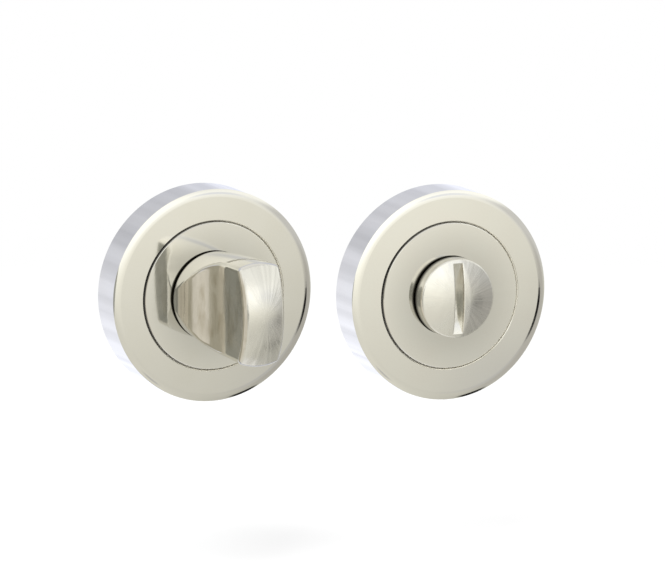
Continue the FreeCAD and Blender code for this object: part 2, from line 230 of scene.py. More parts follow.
# Higher up, the right is as bright as the left
EVEN_FROM, EVEN_TO, EVEN_LEVEL = 10, 22, 1.05
LOW_TINT, LOW_END = colour("FAF9F1"), -4
HIGH_TINT, HIGH_START = colour("F8F9F7"), 8

upwards = add(tree, "ShaderNodeMapRange", {
    "Value": slope, "From Min": rise(UPWARDS[0]), "From Max": rise(UPWARDS[1]),
    "To Min": UPWARDS[2], "To Max": UPWARDS[3]}, interpolation_type="SMOOTHSTEP")
to_the_right = add(tree, "ShaderNodeMapRange", {
    "Value": around, "From Min": math.radians(TO_THE_RIGHT[0]),
    "From Max": math.radians(TO_THE_RIGHT[1]), "To Min": TO_THE_RIGHT[2],
    "To Max": TO_THE_RIGHT[3]})
even = add(tree, "ShaderNodeMapRange", {
    "Value": slope, "From Min": rise(EVEN_FROM), "From Max": rise(EVEN_TO)})
sideways = add(tree, "ShaderNodeMix", {
    "Factor": even.outputs[0], "A": to_the_right.outputs[0], "B": EVEN_LEVEL})
to_the_top = add(tree, "ShaderNodeMapRange", {
    "Value": slope, "From Min": rise(TO_THE_TOP[0]), "From Max": rise(TO_THE_TOP[1]),
    "To Min": TO_THE_TOP[2], "To Max": TO_THE_TOP[3]})
front_level = add(tree, "ShaderNodeMath", {
    0: upwards.outputs[0], 1: sideways.outputs["Result"]}, operation="MULTIPLY")
front_level = add(tree, "ShaderNodeMath", {
    0: front_level.outputs[0], 1: to_the_top.outputs[0]}, operation="MULTIPLY")
higher = add(tree, "ShaderNodeMapRange", {
    "Value": slope, "From Min": rise(LOW_END), "From Max": rise(HIGH_START)})
front = add(tree, "ShaderNodeMix", {
    "Factor": higher.outputs[0], "A": LOW_TINT, "B": HIGH_TINT}, data_type="RGBA")
front = add(tree, "ShaderNodeMix", {
    "Factor": 1.0, "A": front.outputs["Result"], "B": front_level.outputs[0]},
    data_type="RGBA", blend_type="MULTIPLY")
print("brightest front cloth:", round(UPWARDS[3] * TO_THE_RIGHT[2], 2))

# %% Cloth behind
# The slopes between which a level changes, and the level at either one
DOWN_THE_BACK = (-0.45, 0.35, 1.52, 0.98)
TO_THE_FOOT = (-1.0, -0.55, 0.45, 1.0)
BACK_TINT = colour("E1E4F2")
BEHIND_FROM, BEHIND_TO = math.radians(95), math.radians(115)
# Nearly all values of a noise lie between these two
WIDE_NOISE = (0.3, 0.7)
FOLD_SCALE = 7.0
FOLDS = (0.86, 1.13)

down_the_back = add(tree, "ShaderNodeMapRange", {
    "Value": slope, "From Min": DOWN_THE_BACK[0], "From Max": DOWN_THE_BACK[1],
    "To Min": DOWN_THE_BACK[2], "To Max": DOWN_THE_BACK[3]})
to_the_foot = add(tree, "ShaderNodeMapRange", {
    "Value": slope, "From Min": TO_THE_FOOT[0], "From Max": TO_THE_FOOT[1],
    "To Min": TO_THE_FOOT[2], "To Max": TO_THE_FOOT[3]})
folds = add(tree, "ShaderNodeTexNoise", {"Vector": sight, "Scale": FOLD_SCALE, "Detail": 4.0})
fold_level = add(tree, "ShaderNodeMapRange", {
    "Value": folds.outputs[0], "From Min": WIDE_NOISE[0], "From Max": WIDE_NOISE[1],
    "To Min": FOLDS[0], "To Max": FOLDS[1]})
back_level = add(tree, "ShaderNodeMath", {
    0: down_the_back.outputs[0], 1: fold_level.outputs[0]}, operation="MULTIPLY")
back_level = add(tree, "ShaderNodeMath", {
    0: back_level.outputs[0], 1: to_the_foot.outputs[0]}, operation="MULTIPLY")
back = add(tree, "ShaderNodeMix", {
    "Factor": 1.0, "A": BACK_TINT, "B": back_level.outputs[0]},
    data_type="RGBA", blend_type="MULTIPLY")
turned_away = add(tree, "ShaderNodeMath", {0: around}, operation="ABSOLUTE")
behind = add(tree, "ShaderNodeMapRange", {
    "Value": turned_away.outputs[0], "From Min": BEHIND_FROM, "From Max": BEHIND_TO},
    interpolation_type="SMOOTHSTEP")
light = add(tree, "ShaderNodeMix", {
    "Factor": behind.outputs[0], "A": front.outputs["Result"], "B": back.outputs["Result"]},
    data_type="RGBA")
print("brightest back cloth:", round(DOWN_THE_BACK[2] * FOLDS[1], 2))

# %% Things that stand in front of the tent
# Each has an angle round the tent, an angle up, half a width and half a height in degrees, a
# colour, its brightness, and the share of its size that has the full colour.
PATCHES = {
    "soft light": (1, 17, 22, 18, "FCFCF9", 1.62, 0.15),
    "beige wall on the left": (-78, -10, 46, 40, "F6F0E4", 0.92, 0.7),
    "brown shelf on the left": (-127, -10, 23, 40, "E0DAC6", 0.6, 0.75),
    "cool cloth above": (25, 14, 12, 7, "EFF2FA", 1.2, 0.3),
    "dim room on the right": (118, -10, 28, 45, "FFFFFF", 0.6, 0.6),
    "grey screen on the right": (55, 4, 26, 16, "FFFFFF", 0.75, 0.5),
    "dim table on the right": (51, -18, 21, 23, "FBF9F4", 0.58, 0.55),
    "shadow under the camera": (4, -34, 6, 5, "FFFFFF", 0.6, 0.3),
    "grey screen on the left": (-27, -5, 12.5, 15, "E4E6E0", 0.57, 0.89),
    "dim corner": (33, -20, 11, 9, "FFFFFF", 0.62, 0.1),
    "dark stand": (42, -13.8, 6, 4.6, "FFFFFF", 0.01, 0.6),
    "dark foot": (47, -42, 9, 5, "FFFFFF", 0.01, 0.5),
}
for azimuth, elevation, half_wide, half_high, tone, strength, inner in PATCHES.values():
    low, top = rise(elevation - half_high), rise(elevation + half_high)
    middle = (math.radians(azimuth), (low + top) / 2, 0)
    half_size = (math.radians(half_wide), (top - low) / 2, 1)
    off = add(tree, "ShaderNodeVectorMath", {0: sight, 1: middle}, operation="SUBTRACT")
    off = add(tree, "ShaderNodeVectorMath", {0: off.outputs[0], 1: half_size}, operation="DIVIDE")
    far = add(tree, "ShaderNodeVectorMath", {0: off.outputs[0]}, operation="LENGTH")
    share = add(tree, "ShaderNodeMapRange", {
        "Value": far.outputs["Value"], "From Min": inner, "From Max": 1.0, "To Min": 1.0,
        "To Max": 0.0}, interpolation_type="SMOOTHSTEP")
    shade = [strength * channel for channel in colour(tone)[:3]] + [1.0]
    light = add(tree, "ShaderNodeMix", {
        "Factor": share.outputs[0], "A": light.outputs["Result"], "B": shade}, data_type="RGBA")
print("things in front of the tent:", len(PATCHES))

# %% Streaks on the left, and the glow
STREAK_SCALE = (9, 4, 1)
STREAKS = (0.86, 1.08)
STREAKS_AT = math.radians(-68)
STREAKS_FULL, STREAKS_END = math.radians(45), math.radians(60)

streak_at = add(tree, "ShaderNodeMapping", {"Vector": sight, "Scale": STREAK_SCALE})
streaks = add(tree, "ShaderNodeTexNoise", {
    "Vector": streak_at.outputs[0], "Scale": 1.0, "Detail": 3.0})
streak_level = add(tree, "ShaderNodeMapRange", {
    "Value": streaks.outputs[0], "From Min": WIDE_NOISE[0], "From Max": WIDE_NOISE[1],
    "To Min": STREAKS[0], "To Max": STREAKS[1]})
from_left = add(tree, "ShaderNodeMath", {0: around, 1: STREAKS_AT}, operation="SUBTRACT")
from_left = add(tree, "ShaderNodeMath", {0: from_left.outputs[0]}, operation="ABSOLUTE")
beside = add(tree, "ShaderNodeMapRange", {
    "Value": from_left.outputs[0], "From Min": STREAKS_FULL, "From Max": STREAKS_END,
    "To Min": 1.0, "To Max": 0.0})
light = add(tree, "ShaderNodeMix", {
    "Factor": beside.outputs[0], "A": light.outputs["Result"], "B": streak_level.outputs[0]},
    data_type="RGBA", blend_type="MULTIPLY")
glow = add(tree, "ShaderNodeEmission", {"Color": light.outputs["Result"]})
add(tree, "ShaderNodeOutputMaterial", {"Surface": glow.outputs[0]})
print("nodes in the tent cloth:", len(tree.nodes))

# %% Tent wall
TENT_LOW = -6.0
TENT_HIGH = 4.0
TENT_PANELS = 96

wall = bmesh.new()
foot = wall.verts.new((TENT_CENTRE[0] + TENT_RADIUS, 0, TENT_LOW))
head = wall.verts.new((TENT_CENTRE[0] + TENT_RADIUS, 0, TENT_HIGH))
edge = wall.edges.new((foot, head))
bmesh.ops.spin(wall, geom=[foot, head, edge], cent=TENT_CENTRE, axis=(0, 0, 1), angle=math.tau,
               steps=TENT_PANELS, use_merge=True)
tent = stage_piece("light_tent", wall, tent_cloth)
tent.visible_camera = False
tent.visible_diffuse = False
tent.visible_shadow = False
tent.visible_transmission = False
print("tent faces:", len(tent.data.polygons))

# %% [markdown]
# ## The lamps
# Two large soft lamps stand above the camera on both sides. The metal doesn't see them, since the
# tent lights it, so they only light the plastic and the paper, and draw the soft shadow.

# %% Lamps
# Where each lamp stands and how wide it is, in metres, and its power in watts
LAMPS = {
    "key": ((-0.7, -0.9, 1.1), 0.7, 10),
    "fill": ((0.9, -0.9, 0.7), 0.9, 6),
}
for name, (where, size, power) in LAMPS.items():
    lamp = bpy.data.lights.new(name, "AREA")
    lamp.size = size
    lamp.energy = power
    thing = bpy.data.objects.new(name, lamp)
    scene.collection.objects.link(thing)
    thing.location = where
    thing.rotation_mode = "QUATERNION"
    thing.rotation_quaternion = (Vector(where) - TARGET).to_track_quat("Z", "Y")
    thing.visible_glossy = False
print("lamps:", list(LAMPS))

# %% [markdown]
# ## Where a finish begins and ends
# One solid has several finishes: a rose is polished where it shows and raw where it doesn't.
# Painting faces would need their numbers, which change with every new mesh. Here the finish follows
# the shape instead: every point knows its distance from the axis of its half and its distance out
# from the door, and those two say which face it lies on.

# %% Axes of the two halves
HALVES = {"turn": Vector((0, 0, 0)), "release": Vector((63 * MM, 0, -4.8 * MM))}


def around_axis(tree, half):
    """A point seen from a half's axis, its place along and across the axis, and its radius."""
    place = add(tree, "ShaderNodeTexCoord")
    point = add(tree, "ShaderNodeMapping", {
        "Vector": place.outputs["Object"], "Location": -HALVES[half]})
    part = add(tree, "ShaderNodeSeparateXYZ", {0: point.outputs[0]})
    across = add(tree, "ShaderNodeVectorMath", {
        0: point.outputs[0], 1: (1, 0, 1)}, operation="MULTIPLY")
    radius = add(tree, "ShaderNodeVectorMath", {0: across.outputs[0]}, operation="LENGTH")
    return point.outputs[0], part.outputs["Y"], across.outputs[0], radius.outputs["Value"]


for half, centre in HALVES.items():
    print("axis of the", half, "in mm:", [round(v / MM, 1) for v in centre])

# %% Putting a finish on a solid


def dress(name, material):
    """Gives a CAD solid one finish."""
    slots = nodes[name].data.materials
    slots.clear()
    slots.append(material)


print("solids to dress:", sorted(nodes))

# %% [markdown]
# ## Polished nickel plate on the covers
# The covers are turned from brass, buffed on a cloth wheel and plated with nickel. Nickel is a warm,
# slightly yellow white. The wheel leaves a mirror that is never quite flat: wide shallow waves, a
# faint haze, and fine wiping lines. Each is a noise with a size in millimetres. The bore round the
# disc can't be buffed, so it keeps a film of pale polishing paste. Towards the upper left the film
# is painted dark, as painted shade in the gap.

# %% Nickel plate, and the film in the gap with its painted shade
# The release's tints are painted a little lighter than the turn's, as painted light on the release
NICKEL = {
    "turn": (colour("DDDBD4"), colour("D9D6CC")),
    "release": (colour("E3E2DA"), colour("E2DED5")),
}
# Painted shade: a dark colour put in the gaps round the discs and under the knobs, where shade falls
PAINTED_SHADE = colour("2E2D26")
PASTE = colour("E8E5DA")
# The gap's film is painted dark from this direction on, as painted shade
SHADE_WAY = (-0.94, 0, 0.34)
SHADE_FROM = 20 * MM


def nickel_plate(tree, half, point, blotch):
    """Plate that is a little warmer in blotches of one size, and the noise of the blotches."""
    bright, warm = NICKEL[half]
    haze = add(tree, "ShaderNodeTexNoise", {"Vector": point, "Scale": 1 / blotch, "Detail": 4.0})
    plate = add(tree, "ShaderNodeMix", {
        "Factor": haze.outputs[0], "A": bright, "B": warm}, data_type="RGBA")
    return plate.outputs["Result"], haze.outputs[0]


def gap_film_and_shade(tree, point):
    """The film in the gap round a disc: pale paste, painted dark towards the upper left as painted
    shade.
    """
    toward_shade = add(tree, "ShaderNodeVectorMath", {0: point, 1: SHADE_WAY}, operation="DOT_PRODUCT")
    unshaded = add(tree, "ShaderNodeMapRange", {
        "Value": toward_shade.outputs["Value"], "From Min": SHADE_FROM, "From Max": 0.0})
    film_and_shade = add(tree, "ShaderNodeMix", {
        "Factor": unshaded.outputs[0], "A": PAINTED_SHADE, "B": PASTE}, data_type="RGBA")
    return film_and_shade.outputs["Result"]


print("tints of nickel:", {half: len(tints) for half, tints in NICKEL.items()})

# %% Rose covers
BORE = 18.44 * MM
# Most of a surface has a noise between these two, so a finish goes from one end to the other there
NOISE = (0.35, 0.65)
COVER_BLOTCH = 9 * MM
COVER_GLOSS = (0.04, 0.09)
FILM_ROUGHNESS = 0.8
COVER_WAVE, COVER_WAVE_DEPTH = 16 * MM, 0.03 * MM
# Wiping lines are a few hundredths wide on the real plate, and ten times coarser here to show
WIPING_TURN = math.radians(35)
WIPING_SCALE = (0.04 / MM, 0.4 / MM, 2.5 / MM)
WIPING_DEPTH = 0.002 * MM

for half in HALVES:
    material, tree = blank_material(f"polished_nickel_plate_{half}_cover")
    point, _, _, radius = around_axis(tree, half)
    plate, haze = nickel_plate(tree, half, point, COVER_BLOTCH)
    gloss = add(tree, "ShaderNodeMapRange", {
        "Value": haze, "From Min": NOISE[0], "From Max": NOISE[1], "To Min": COVER_GLOSS[0],
        "To Max": COVER_GLOSS[1]})
    wave = add(tree, "ShaderNodeTexNoise", {
        "Vector": point, "Scale": 1 / COVER_WAVE, "Detail": 1.0})
    buffed = add(tree, "ShaderNodeBump", {
        "Height": wave.outputs[0], "Strength": 1.0, "Distance": COVER_WAVE_DEPTH})
    along = add(tree, "ShaderNodeMapping", {
        "Vector": point, "Rotation": (0, WIPING_TURN, 0), "Scale": WIPING_SCALE})
    wiping = add(tree, "ShaderNodeTexNoise", {
        "Vector": along.outputs[0], "Scale": 1.0, "Detail": 3.0})
    lined = add(tree, "ShaderNodeBump", {
        "Height": wiping.outputs[0], "Strength": 0.5, "Distance": WIPING_DEPTH,
        "Normal": buffed.outputs[0]})
    bore = add(tree, "ShaderNodeMath", {0: radius, 1: BORE}, operation="LESS_THAN")
    tint = add(tree, "ShaderNodeMix", {
        "Factor": bore.outputs[0], "A": plate, "B": gap_film_and_shade(tree, point)}, data_type="RGBA")
    rough = add(tree, "ShaderNodeMix", {
        "Factor": bore.outputs[0], "A": gloss.outputs[0], "B": FILM_ROUGHNESS})
    metal = add(tree, "ShaderNodeMath", {0: 1.0, 1: bore.outputs[0]}, operation="SUBTRACT")
    shader = add(tree, "ShaderNodeBsdfPrincipled", {
        "Base Color": tint.outputs["Result"], "Metallic": metal.outputs[0],
        "Roughness": rough.outputs["Result"], "Normal": lined.outputs[0]})
    add(tree, "ShaderNodeOutputMaterial", {"Surface": shader.outputs[0]})
    dress(f"{half}_rose_cover", material)
    print(material.name, "has", len(tree.nodes), "nodes")

# %% [markdown]
# ## Die-cast zinc with a polished disc
# The rose under the cover is a zinc casting. Only its disc shows, and only that face is turned,
# polished and plated. Its plate is painted darker towards the knob, as painted shade. Everything
# else keeps the dull grey of the casting, with the fine dimples of the die. The disc's face is found
# by its depth and radius. Its side has the film of the bore with its painted shade. Under the knob
# the face is painted dark, as painted shade.

# %% Areas of an inner rose
DISC_FACE = -10.35 * MM
DISC_RIM = 17.92 * MM
SHOULDER = -8.4 * MM
UNDER_KNOB = {"turn": 10.6 * MM, "release": 9.4 * MM}


def rose_areas(tree, half, depth, radius):
    """The disc's whole face, the polished part of it, and the disc's side."""
    outside = add(tree, "ShaderNodeMath", {0: depth, 1: DISC_FACE}, operation="LESS_THAN")
    inside = add(tree, "ShaderNodeMath", {0: radius, 1: DISC_RIM}, operation="LESS_THAN")
    face = add(tree, "ShaderNodeMath", {
        0: outside.outputs[0], 1: inside.outputs[0]}, operation="MULTIPLY")
    open_face = add(tree, "ShaderNodeMath", {
        0: radius, 1: UNDER_KNOB[half]}, operation="GREATER_THAN")
    polished = add(tree, "ShaderNodeMath", {
        0: face.outputs[0], 1: open_face.outputs[0]}, operation="MULTIPLY")
    raised = add(tree, "ShaderNodeMath", {0: depth, 1: SHOULDER}, operation="LESS_THAN")
    side = add(tree, "ShaderNodeMath", {
        0: raised.outputs[0], 1: inside.outputs[0]}, operation="SUBTRACT", use_clamp=True)
    return face.outputs[0], polished.outputs[0], side.outputs[0]


print("disc radius in mm:", round(DISC_RIM / MM, 2))

# %% Lathe rings and the painted shade near the knob
RING_DETAIL = 2.0
# Painted shade on the disc: between these radii its plate is painted darker towards the knob, by
# these factors
KNOB_SHADE_REACH = (11 * MM, 18 * MM)
KNOB_SHADE_LEVEL = (0.8, 0.97)


def lathe_rings(tree, radius, spacing):
    """A height that changes only with the distance from the axis."""
    ring_at = add(tree, "ShaderNodeMath", {0: radius, 1: spacing}, operation="DIVIDE")
    rings = add(tree, "ShaderNodeTexNoise", {
        "W": ring_at.outputs[0], "Scale": 1.0, "Detail": RING_DETAIL}, noise_dimensions="1D")
    return rings.outputs[0]


def plate_with_knob_shade(tree, plate, radius):
    """Plate that is painted darker towards the knob, as painted shade."""
    knob_shade = add(tree, "ShaderNodeMapRange", {
        "Value": radius, "From Min": KNOB_SHADE_REACH[0], "From Max": KNOB_SHADE_REACH[1],
        "To Min": KNOB_SHADE_LEVEL[0], "To Max": KNOB_SHADE_LEVEL[1]})
    plate = add(tree, "ShaderNodeMix", {
        "Factor": 1.0, "A": plate, "B": knob_shade.outputs[0]},
        data_type="RGBA", blend_type="MULTIPLY")
    return plate.outputs["Result"]


print("plate is dulled inside mm:", round(KNOB_SHADE_REACH[1] / MM, 1))

# %% Inner roses
ZINC = colour("8F918F")
ZINC_PALE = colour("A7A8A4")
ZINC_ROUGHNESS = (0.45, 0.65)
DIMPLE, DIMPLE_DEPTH = 0.5 * MM, 0.06 * MM
DISC_BLOTCH = 7 * MM
DISC_GLOSS = (0.05, 0.09)
# The rings are a few hundredths apart on the real disc, and wider here so that they show
DISC_RING, DISC_RING_DEPTH = 0.4 * MM, 0.002 * MM
# The middle of a noise, which is the height of a surface without relief
FLAT = 0.5

for half in HALVES:
    material, tree = blank_material(f"diecast_zinc_with_polished_disc_{half}")
    point, depth, _, radius = around_axis(tree, half)
    face, polished, side = rose_areas(tree, half, depth, radius)
    plate, haze = nickel_plate(tree, half, point, DISC_BLOTCH)
    plate = plate_with_knob_shade(tree, plate, radius)
    dimples = add(tree, "ShaderNodeTexNoise", {
        "Vector": point, "Scale": 1 / DIMPLE, "Detail": 3.0}).outputs[0]
    cast = add(tree, "ShaderNodeMix", {
        "Factor": dimples, "A": ZINC, "B": ZINC_PALE}, data_type="RGBA")
    tint = add(tree, "ShaderNodeMix", {
        "Factor": side, "A": cast.outputs["Result"], "B": gap_film_and_shade(tree, point)},
        data_type="RGBA")
    # Painted shade: under the knob the disc's face is painted dark, so that it shows as shade
    # through the gap
    tint = add(tree, "ShaderNodeMix", {
        "Factor": face, "A": tint.outputs["Result"], "B": PAINTED_SHADE}, data_type="RGBA")
    tint = add(tree, "ShaderNodeMix", {
        "Factor": polished, "A": tint.outputs["Result"], "B": plate}, data_type="RGBA")
    dull = add(tree, "ShaderNodeMapRange", {
        "Value": dimples, "To Min": ZINC_ROUGHNESS[0], "To Max": ZINC_ROUGHNESS[1]})
    gloss = add(tree, "ShaderNodeMapRange", {
        "Value": haze, "From Min": NOISE[0], "From Max": NOISE[1], "To Min": DISC_GLOSS[0],
        "To Max": DISC_GLOSS[1]})
    rough = add(tree, "ShaderNodeMix", {
        "Factor": polished, "A": dull.outputs[0], "B": gloss.outputs[0]})
    relief = add(tree, "ShaderNodeMix", {"Factor": polished, "A": dimples, "B": FLAT})
    pitted = add(tree, "ShaderNodeBump", {
        "Height": relief.outputs["Result"], "Strength": 0.6, "Distance": DIMPLE_DEPTH})
    turned = add(tree, "ShaderNodeBump", {
        "Height": lathe_rings(tree, radius, DISC_RING), "Strength": 0.4,
        "Distance": DISC_RING_DEPTH, "Normal": pitted.outputs[0]})
    metal = add(tree, "ShaderNodeMath", {0: 1.0, 1: side}, operation="SUBTRACT")
    shader = add(tree, "ShaderNodeBsdfPrincipled", {
        "Base Color": tint.outputs["Result"], "Metallic": metal.outputs[0],
        "Roughness": rough.outputs["Result"], "Normal": turned.outputs[0]})
    add(tree, "ShaderNodeOutputMaterial", {"Surface": shader.outputs[0]})
    dress(f"{half}_inner_rose", material)
    print(material.name, "has", len(tree.nodes), "nodes")

# %% [markdown]
# ## Nickel with a turned dome
# The knob and the coin release are brass bars, turned, milled and buffed, and then plated. Their
# sides are mirrors, a little uneven where the hand held them to the wheel. Their domed fronts keep
# the lathe's marks: rings, with fine spokes across them that fan out where the light catches. A
# dome is part of a ball, so a point is on it when it lies one ball radius from the ball's centre.
# That needs no picking of faces. The spokes change the height, the roughness and a little of the
# colour, and that colour is painted highlight and shade in streaks. They show only outside a smooth
# oval on the left. Outside that oval the dome's colour is also painted darker, as painted shade.

# %% The two domed pieces
# tip is the front of the dome, along the axis, and ball the radius of its ball. The foot is free of
# painted shade as far as one depth and fully in painted shade from the next. The smooth oval has a
# middle, an edge, and a distance from which the marks and the painted shade are full. The last
# number is how bright the marked side is painted, as painted shade.
DOMES = {
    "thumb_turn": {
        "half": "turn", "tip": -41.64 * MM, "ball": 22.0 * MM, "spoke_depth": 0.08 * MM,
        "foot_unshaded": -12.1 * MM, "foot_shaded": -11.4 * MM, "oval_middle": -6.5 * MM,
        "oval_edge": 4.0 * MM, "marked_full_from": 8.0 * MM, "marked_shade": 0.97},
    "coin_release": {
        "half": "release", "tip": -16.125 * MM, "ball": 35.0 * MM, "spoke_depth": 0.04 * MM,
        "foot_unshaded": -13.2 * MM, "foot_shaded": -11.3 * MM, "oval_middle": -3.2 * MM,
        "oval_edge": 5.8 * MM, "marked_full_from": 6.6 * MM, "marked_shade": 0.82},
}
# A point this far inside the ball is off the dome, and nearer than the second length fully on it
DOME_SKIN = (0.06 * MM, 0.02 * MM)


def dome_areas(tree, shape, point, across):
    """The dome, and the part of it outside the smooth oval, which has spokes and painted shade."""
    centre = (0, shape["tip"] + shape["ball"], 0)
    from_ball = add(tree, "ShaderNodeVectorMath", {0: point, 1: centre}, operation="DISTANCE")
    dome = add(tree, "ShaderNodeMapRange", {
        "Value": from_ball.outputs["Value"], "From Min": shape["ball"] - DOME_SKIN[0],
        "From Max": shape["ball"] - DOME_SKIN[1]})
    # The smooth oval, which is left unshaded, is twice as high as it is wide
    squeezed = add(tree, "ShaderNodeVectorMath", {0: across, 1: (1, 0, 0.5)}, operation="MULTIPLY")
    from_oval = add(tree, "ShaderNodeVectorMath", {
        0: squeezed.outputs[0], 1: (shape["oval_middle"], 0, 0)}, operation="DISTANCE")
    outside_oval = add(tree, "ShaderNodeMapRange", {
        "Value": from_oval.outputs["Value"], "From Min": shape["oval_edge"],
        "From Max": shape["marked_full_from"]}, interpolation_type="SMOOTHSTEP")
    marked_and_shaded = add(tree, "ShaderNodeMath", {
        0: dome.outputs[0], 1: outside_oval.outputs[0]}, operation="MULTIPLY")
    return dome.outputs[0], marked_and_shaded.outputs[0]


print("domed pieces:", list(DOMES))

# %% Spokes and rings of a dome
# The spokes are about 7 degrees wide. They and the rings fade out towards the middle, where they
# would run together to a star. The rings are drawn wider apart than on the real dome, to show.
SPOKE_SCALE, SPOKE_ROUGHNESS = 8.0, 0.65
FAN_FROM, FAN_FULL = 1.5 * MM, 6 * MM
DOME_RING, DOME_RING_DEPTH = 0.5 * MM, 0.003 * MM
# The corner at a dome's tip has a skewed normal, so its small triangles use their own flat ones
TIP = 1.0 * MM


def dome_spokes(tree, marked_and_shaded, across, radius):
    """Noise that changes with the angle round the axis, its fading, and the faded height."""
    heading = add(tree, "ShaderNodeVectorMath", {0: across}, operation="NORMALIZE")
    spokes = add(tree, "ShaderNodeTexNoise", {
        "Vector": heading.outputs[0], "Scale": SPOKE_SCALE, "Detail": 3.0,
        "Roughness": SPOKE_ROUGHNESS})
    open_out = add(tree, "ShaderNodeMapRange", {
        "Value": radius, "From Min": FAN_FROM, "From Max": FAN_FULL})
    fan_share = add(tree, "ShaderNodeMath", {
        0: marked_and_shaded, 1: open_out.outputs[0]}, operation="MULTIPLY")
    fan = add(tree, "ShaderNodeMix", {
        "Factor": fan_share.outputs[0], "A": FLAT, "B": spokes.outputs[0]})
    return spokes.outputs[0], open_out.outputs[0], fan.outputs["Result"]


def dome_relief(tree, fan, open_out, radius, spoke_depth):
    """The normal of a dome with its spokes and rings."""
    skin = add(tree, "ShaderNodeNewGeometry")
    at_tip = add(tree, "ShaderNodeMath", {0: radius, 1: TIP}, operation="LESS_THAN")
    upright = add(tree, "ShaderNodeMix", {
        "Factor": at_tip.outputs[0], "A": skin.outputs["Normal"],
        "B": skin.outputs["True Normal"]}, data_type="VECTOR")
    fanned = add(tree, "ShaderNodeBump", {
        "Height": fan, "Strength": 1.0, "Distance": spoke_depth,
        "Normal": upright.outputs["Result"]})
    groove = add(tree, "ShaderNodeMix", {
        "Factor": open_out, "A": FLAT, "B": lathe_rings(tree, radius, DOME_RING)})
    ringed = add(tree, "ShaderNodeBump", {
        "Height": groove.outputs["Result"], "Strength": 0.5, "Distance": DOME_RING_DEPTH,
        "Normal": fanned.outputs[0]})
    return ringed.outputs[0]


print("rings in mm:", DOME_RING / MM)

# %% Smudges and waves in the scoop
# The scoop and the flats lie nearer the axis than the rest of the side. Fingers leave smudges
# there, about 3 mm wide and drawn out up and down. The wheel leaves waves of the same size.
SCOOP = (9 * MM, 11 * MM)
SMUDGE = colour("ACA591")
SMUDGE_SCALE = (0.33 / MM, 0.33 / MM, 0.13 / MM)
SMUDGE_NOISE = (0.42, 0.68)
SMUDGE_MOST = 0.6
SCOOP_WAVE_SCALE = (0.33 / MM, 0.33 / MM, 0.15 / MM)
SCOOP_WAVE_DEPTH = 0.08 * MM


def smudged_plate(tree, plate, point, scoop, dome):
    """Plate with smudges in the scoop and none on the dome."""
    smudge_at = add(tree, "ShaderNodeMapping", {"Vector": point, "Scale": SMUDGE_SCALE})
    smudges = add(tree, "ShaderNodeTexNoise", {
        "Vector": smudge_at.outputs[0], "Scale": 1.0, "Detail": 5.0, "Distortion": 0.6})
    smudged = add(tree, "ShaderNodeMapRange", {
        "Value": smudges.outputs[0], "From Min": SMUDGE_NOISE[0], "From Max": SMUDGE_NOISE[1],
        "To Max": SMUDGE_MOST})
    held = add(tree, "ShaderNodeMath", {0: scoop, 1: smudged.outputs[0]}, operation="MULTIPLY")
    held = add(tree, "ShaderNodeMath", {
        0: held.outputs[0], 1: dome}, operation="SUBTRACT", use_clamp=True)
    plate = add(tree, "ShaderNodeMix", {
        "Factor": held.outputs[0], "A": plate, "B": SMUDGE}, data_type="RGBA")
    return plate.outputs["Result"]


def waved(tree, point, scoop, normal):
    """A normal with the waves of the scoop added."""
    wave_at = add(tree, "ShaderNodeMapping", {"Vector": point, "Scale": SCOOP_WAVE_SCALE})
    wave = add(tree, "ShaderNodeTexNoise", {
        "Vector": wave_at.outputs[0], "Scale": 1.0, "Detail": 3.0})
    uneven = add(tree, "ShaderNodeMix", {"Factor": scoop, "A": FLAT, "B": wave.outputs[0]})
    buffed = add(tree, "ShaderNodeBump", {
        "Height": uneven.outputs["Result"], "Strength": 1.0, "Distance": SCOOP_WAVE_DEPTH,
        "Normal": normal})
    return buffed.outputs[0]


print("scoop ends at mm:", [round(end / MM, 1) for end in SCOOP])

# %% Thumb turn and coin release
DOME_BLOTCH = 5 * MM
SATIN = (0.17, 0.3)
SIDE_GLOSS = (0.06, 0.12)
SCOOP_HAZE = 0.09
FOOT_ROUGHNESS = 0.6
# How much brighter and darker than the rest of the marked side its spokes are painted, as painted
# highlight and shade in streaks
PAINTED_SPOKE_STREAKS = (1.05, 0.88)

